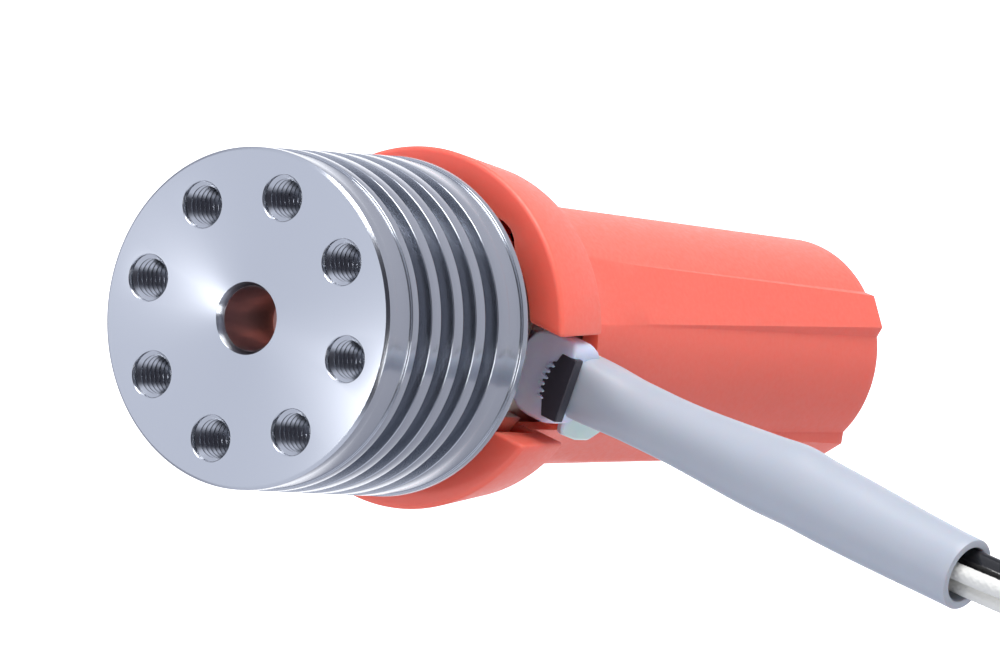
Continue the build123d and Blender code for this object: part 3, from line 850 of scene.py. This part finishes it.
def add_floor():
    """A pale floor that glows softly where it lies behind the hotend, for a clean white ground."""
    bm = bmesh.new()
    bmesh.ops.create_grid(bm, x_segments=1, y_segments=1, size=FLOOR_SIZE)
    mesh = bpy.data.meshes.new("floor")
    bm.to_mesh(mesh)
    bm.free()
    floor = bpy.data.objects.new("floor", mesh)
    scene.collection.objects.link(floor)
    height = cad_box[0][2] - FLOOR_DROP
    floor.location = (0, 0, height)
    material = bpy.data.materials.new("floor_white")
    material.use_nodes = True
    tree = material.node_tree
    shader = tree.nodes["Principled BSDF"]
    shader.inputs["Base Color"].default_value = (*FLOOR_COLOUR, 1)
    shader.inputs["Roughness"].default_value = 0.9
    shader.inputs["Emission Color"].default_value = (1, 1, 1, 1)
    behind = SUBJECT - BACK * ((SUBJECT.z - height) / BACK.z)
    coordinates = tree.nodes.new("ShaderNodeTexCoord")
    distance = tree.nodes.new("ShaderNodeVectorMath")
    distance.operation = "DISTANCE"
    distance.inputs[1].default_value = (behind.x, behind.y, 0)
    tree.links.new(coordinates.outputs["Object"], distance.inputs[0])
    glow = tree.nodes.new("ShaderNodeMapRange")
    glow.interpolation_type = "SMOOTHSTEP"
    for socket, value in zip(list(glow.inputs)[1:5], (*GLOW_REACH, FLOOR_GLOW, 0.0)):
        socket.default_value = value
    tree.links.new(distance.outputs["Value"], glow.inputs[0])
    tree.links.new(glow.outputs[0], shader.inputs["Emission Strength"])
    floor.data.materials.append(material)


add_floor()


def add_light(name, direction, distance, size, power):
    data = bpy.data.lights.new(name, "AREA")
    data.shape = "DISK"
    data.size = size
    data.energy = power
    light = bpy.data.objects.new(name, data)
    scene.collection.objects.link(light)
    way = direction.normalized()
    light.location = LIGHT_AIM + way * distance
    light.rotation_euler = way.to_track_quat("Z", "Y").to_euler()


def light_world():
    """A bright bluish sky with a dark side towards the camera's place, but lower."""
    world = bpy.data.worlds.new("world")
    world.use_nodes = True
    tree = world.node_tree
    coordinates = tree.nodes.new("ShaderNodeTexCoord")
    facing = tree.nodes.new("ShaderNodeVectorMath")
    facing.operation = "DOT_PRODUCT"
    facing.inputs[1].default_value = (BACK * Vector((1.5, 1.5, 0.6))).normalized()
    tree.links.new(coordinates.outputs["Generated"], facing.inputs[0])
    ramp = tree.nodes.new("ShaderNodeValToRGB")
    for stop, place, colour in zip(ramp.color_ramp.elements, SKY_EDGE, (SKY_COLOUR, SKY_DARK)):
        stop.position = place
        stop.color = (*colour, 1)
    tree.links.new(facing.outputs["Value"], ramp.inputs[0])
    background = tree.nodes["Background"]
    tree.links.new(ramp.outputs[0], background.inputs["Color"])
    background.inputs["Strength"].default_value = SKY_STRENGTH
    scene.world = world


add_light("key", 0.5 * BACK + 1.2 * UP + 0.3 * RIGHT, distance=0.6, size=0.40, power=3.4)
add_light("streak", Vector((-0.228, -0.212, 0.95)), distance=0.9, size=0.12, power=0.9)
add_light("fill", BACK - 0.5 * UP + 0.9 * RIGHT, distance=0.8, size=0.3, power=2.0)
light_world()


# ---------------------------------------------------------------- materials

class Finish:
    """A procedural material: a Principled shader with a few textures in object space."""

    def __init__(self, name, colour, rough, **sockets):
        self.material = bpy.data.materials.new(name)
        self.material.use_nodes = True
        self.tree = self.material.node_tree
        self.shader = self.tree.nodes["Principled BSDF"]
        self.colour = colour
        self.shader.inputs["Base Color"].default_value = (*colour, 1)
        self.shader.inputs["Roughness"].default_value = rough
        for socket, value in sockets.items():
            self.shader.inputs[socket.replace("_", " ")].default_value = value
        coordinates = self.add("ShaderNodeTexCoord")
        self.place = coordinates.outputs["Object"]

    def add(self, kind, **settings):
        node = self.tree.nodes.new(kind)
        for key, value in settings.items():
            setattr(node, key, value)
        return node

    def link(self, source, target):
        self.tree.links.new(source, target)

    def maths(self, operation, first, second):
        node = self.add("ShaderNodeMath", operation=operation)
        for socket, value in zip(node.inputs, (first, second)):
            if isinstance(value, (int, float)):
                socket.default_value = value
            else:
                self.link(value, socket)
        return node.outputs[0]

    def noise(self, scale, detail):
        """Noise of so many patches to the millimetre."""
        node = self.add("ShaderNodeTexNoise")
        node.inputs["Scale"].default_value = scale / MM
        node.inputs["Detail"].default_value = detail
        self.link(self.place, node.inputs["Vector"])
        return node.outputs["Fac"]

    def spread(self, source, low, high, source_low=0.3, source_high=0.7):
        """A value carried from its own range to the range from low to high."""
        node = self.add("ShaderNodeMapRange")
        for socket, value in zip(list(node.inputs)[1:5], (source_low, source_high, low, high)):
            socket.default_value = value
        self.link(source, node.inputs[0])
        return node.outputs[0]

    def tint(self, source, dark, light):
        """Base colour between two shares of the material's own colour."""
        ramp = self.add("ShaderNodeValToRGB")
        ramp.color_ramp.elements[0].position = 0.3
        ramp.color_ramp.elements[1].position = 0.7
        for stop, share in zip(ramp.color_ramp.elements, (dark, light)):
            shade = share if isinstance(share, tuple) else [c * share for c in self.colour]
            stop.color = (*shade, 1)
        self.link(source, ramp.inputs[0])
        self.link(ramp.outputs[0], self.shader.inputs["Base Color"])

    def roughen(self, source, low, high):
        self.link(self.spread(source, low, high), self.shader.inputs["Roughness"])

    def bump(self, source, depth_mm):
        node = self.add("ShaderNodeBump")
        node.inputs["Distance"].default_value = depth_mm * MM
        node.inputs["Strength"].default_value = 1.0
        self.link(source, node.inputs["Height"])
        self.link(node.outputs[0], self.shader.inputs["Normal"])

    def height(self):
        """Height above the mounting face, so it is below zero on the hotend."""
        parts = self.add("ShaderNodeSeparateXYZ")
        self.link(self.place, parts.inputs[0])
        return parts.outputs[2]

    def radius(self):
        """Distance from the hotend's axis."""
        flat = self.add("ShaderNodeVectorMath", operation="MULTIPLY")
        flat.inputs[1].default_value = (1, 1, 0)
        self.link(self.place, flat.inputs[0])
        length = self.add("ShaderNodeVectorMath", operation="LENGTH")
        self.link(flat.outputs[0], length.inputs[0])
        return length.outputs["Value"]

    def rings(self, per_mm):
        """Tool marks of a lathe: noise along the radius and the height, the same all round."""
        along = self.maths("ADD", self.radius(), self.maths("MULTIPLY", self.height(), 0.83))
        node = self.add("ShaderNodeTexNoise", noise_dimensions="1D")
        node.inputs["Scale"].default_value = per_mm / MM
        node.inputs["Detail"].default_value = 3.0
        self.link(along, node.inputs["W"])
        return node.outputs["Fac"]


def turned_metal(name, colour, rough, marks_per_mm, depth_mm):
    finish = Finish(name, colour, rough, Metallic=1.0)
    marks = finish.rings(marks_per_mm)
    finish.tint(finish.noise(0.25, 4), 0.95, 1.03)
    finish.roughen(marks, rough * 0.85, rough * 1.2)
    finish.bump(marks, depth_mm)
    return finish


def moulded(name, colour, rough, grains_per_mm, depth_mm, dark=0.93, **sockets):
    """A moulded finish, fine-grained, with patches down to a dark share of its colour."""
    finish = Finish(name, colour, rough, **sockets)
    grain = finish.noise(grains_per_mm, 3)
    finish.tint(finish.noise(0.3, 3), dark, 1.0)
    finish.roughen(grain, rough * 0.85, rough * 1.15)
    finish.bump(grain, depth_mm)
    return finish


def aluminium():
    """Turned aluminium, with painted shade: a little darker below its face, down its fins and threaded
    holes, where grooves and holes sit in shade.
    """
    finish = Finish("turned_aluminium", (0.55, 0.57, 0.615), 0.24, Metallic=1.0,
                    Anisotropic=0.6, Anisotropic_Rotation=0.25)
    tangent = finish.add("ShaderNodeTangent", direction_type="RADIAL", axis="Z")
    finish.link(tangent.outputs[0], finish.shader.inputs["Tangent"])
    height = finish.height()
    # painted shade: from just below the face down to the heatsink's foot the metal is tinted to 0.9 of
    # its colour, standing in for the shade in its grooves and holes; the same band is also a little
    # smoother
    below = finish.spread(height, 0.0, 1.0, -0.15 * MM, -0.4 * MM)
    above = finish.spread(height, 1.0, 0.0, -15.8 * MM, -16.0 * MM)
    painted_shade_and_gloss = finish.maths("MULTIPLY", below, above)
    finish.tint(painted_shade_and_gloss, 1.0, 0.9)
    finish.roughen(painted_shade_and_gloss, 0.24, 0.19)
    finish.bump(finish.rings(7.0), 0.0003)
    return finish


def copper():
    """Dull plated copper, with a painted reflection: redder in the funnel where the filament tube ends,
    for the warm light bounced round deep in the bore.
    """
    finish = Finish("copper", (0.60, 0.53, 0.565), 0.33, Metallic=1.0)
    # painted reflection: below 5.9 mm down the bore the colour is tinted redder, standing in for light
    # bounced round inside the copper
    funnel = finish.spread(finish.height(), 0.0, 1.0, -5.9 * MM, -6.2 * MM)
    finish.tint(funnel, 1.0, (0.92, 0.52, 0.42))
    finish.bump(finish.rings(5.0), 0.0006)
    return finish


def silicone():
    finish = moulded("orange_silicone", (1.0, 0.145, 0.09), 0.5, 3.0, 0.003, 0.985,
                     Subsurface_Weight=0.5, Subsurface_Scale=0.002, Specular_IOR_Level=0.8)
    finish.shader.inputs["Subsurface Radius"].default_value = (1.0, 0.25, 0.18)
    return finish


def potting():
    """Translucent potting, paler and greener where it thins out below the sleeve."""
    finish = Finish("potting_silicone", (0.66, 0.70, 0.86), 0.35,
                    Subsurface_Weight=0.5, Subsurface_Scale=0.001)
    thinning = finish.spread(finish.height(), 0.0, 1.0, -23.0 * MM, -26.5 * MM)
    finish.tint(thinning, 1.0, (0.66, 0.82, 0.78))
    finish.bump(finish.noise(1.2, 3), 0.03)
    return finish


def sleeve():
    return moulded("grey_sleeve", (0.43, 0.46, 0.515), 0.42, 2.0, 0.006, 0.98,
                   Subsurface_Weight=0.2, Subsurface_Scale=0.0008)


FINISHES = {
    "turned_aluminium": aluminium(),
    "copper": copper(),
    "stainless_steel": turned_metal("stainless_steel", (0.58, 0.58, 0.58), 0.25, 5.0, 0.001),
    "plated_copper": turned_metal("plated_copper", (0.62, 0.56, 0.50), 0.32, 4.0, 0.0003),
    "black_steel": turned_metal("black_steel", (0.05, 0.05, 0.055), 0.4, 4.0, 0.001),
    "white_ceramic": moulded("white_ceramic", (0.80, 0.80, 0.76), 0.6, 6.0, 0.01),
    "potting_silicone": potting(),
    "black_clip": moulded("black_clip", (0.035, 0.033, 0.045), 0.4, 5.0, 0.006),
    "nozzle_brass": turned_metal("nozzle_brass", (0.72, 0.52, 0.24), 0.22, 5.0, 0.001),
    "orange_silicone": silicone(),
    "grey_sleeve": sleeve(),
    "tinned_copper": turned_metal("tinned_copper", (0.70, 0.70, 0.70), 0.3, 4.0, 0.001),
    "white_braid": moulded("white_braid", (0.80, 0.79, 0.74), 0.6, 5.0, 0.05),
    "black_jacket": moulded("black_jacket", (0.012, 0.012, 0.014), 0.16, 1.0, 0.02),
    "black_nylon": moulded("black_nylon", (0.022, 0.022, 0.024), 0.42, 6.0, 0.01),
    "white_nylon": moulded("white_nylon", (0.78, 0.76, 0.70), 0.4, 6.0, 0.01),
}

slot_of_node = {s["node"]: s["material_slot"] for s in frame["record"]["subparts"]}
for node, piece in frame["nodes"].items():
    piece.data.materials.clear()
    piece.data.materials.append(FINISHES[slot_of_node[node]].material)
for piece in scene.objects:
    if piece.get("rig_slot") and not piece.data.materials:
        piece.data.materials.append(FINISHES[piece["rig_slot"]].material)

bpy.context.view_layer.update()
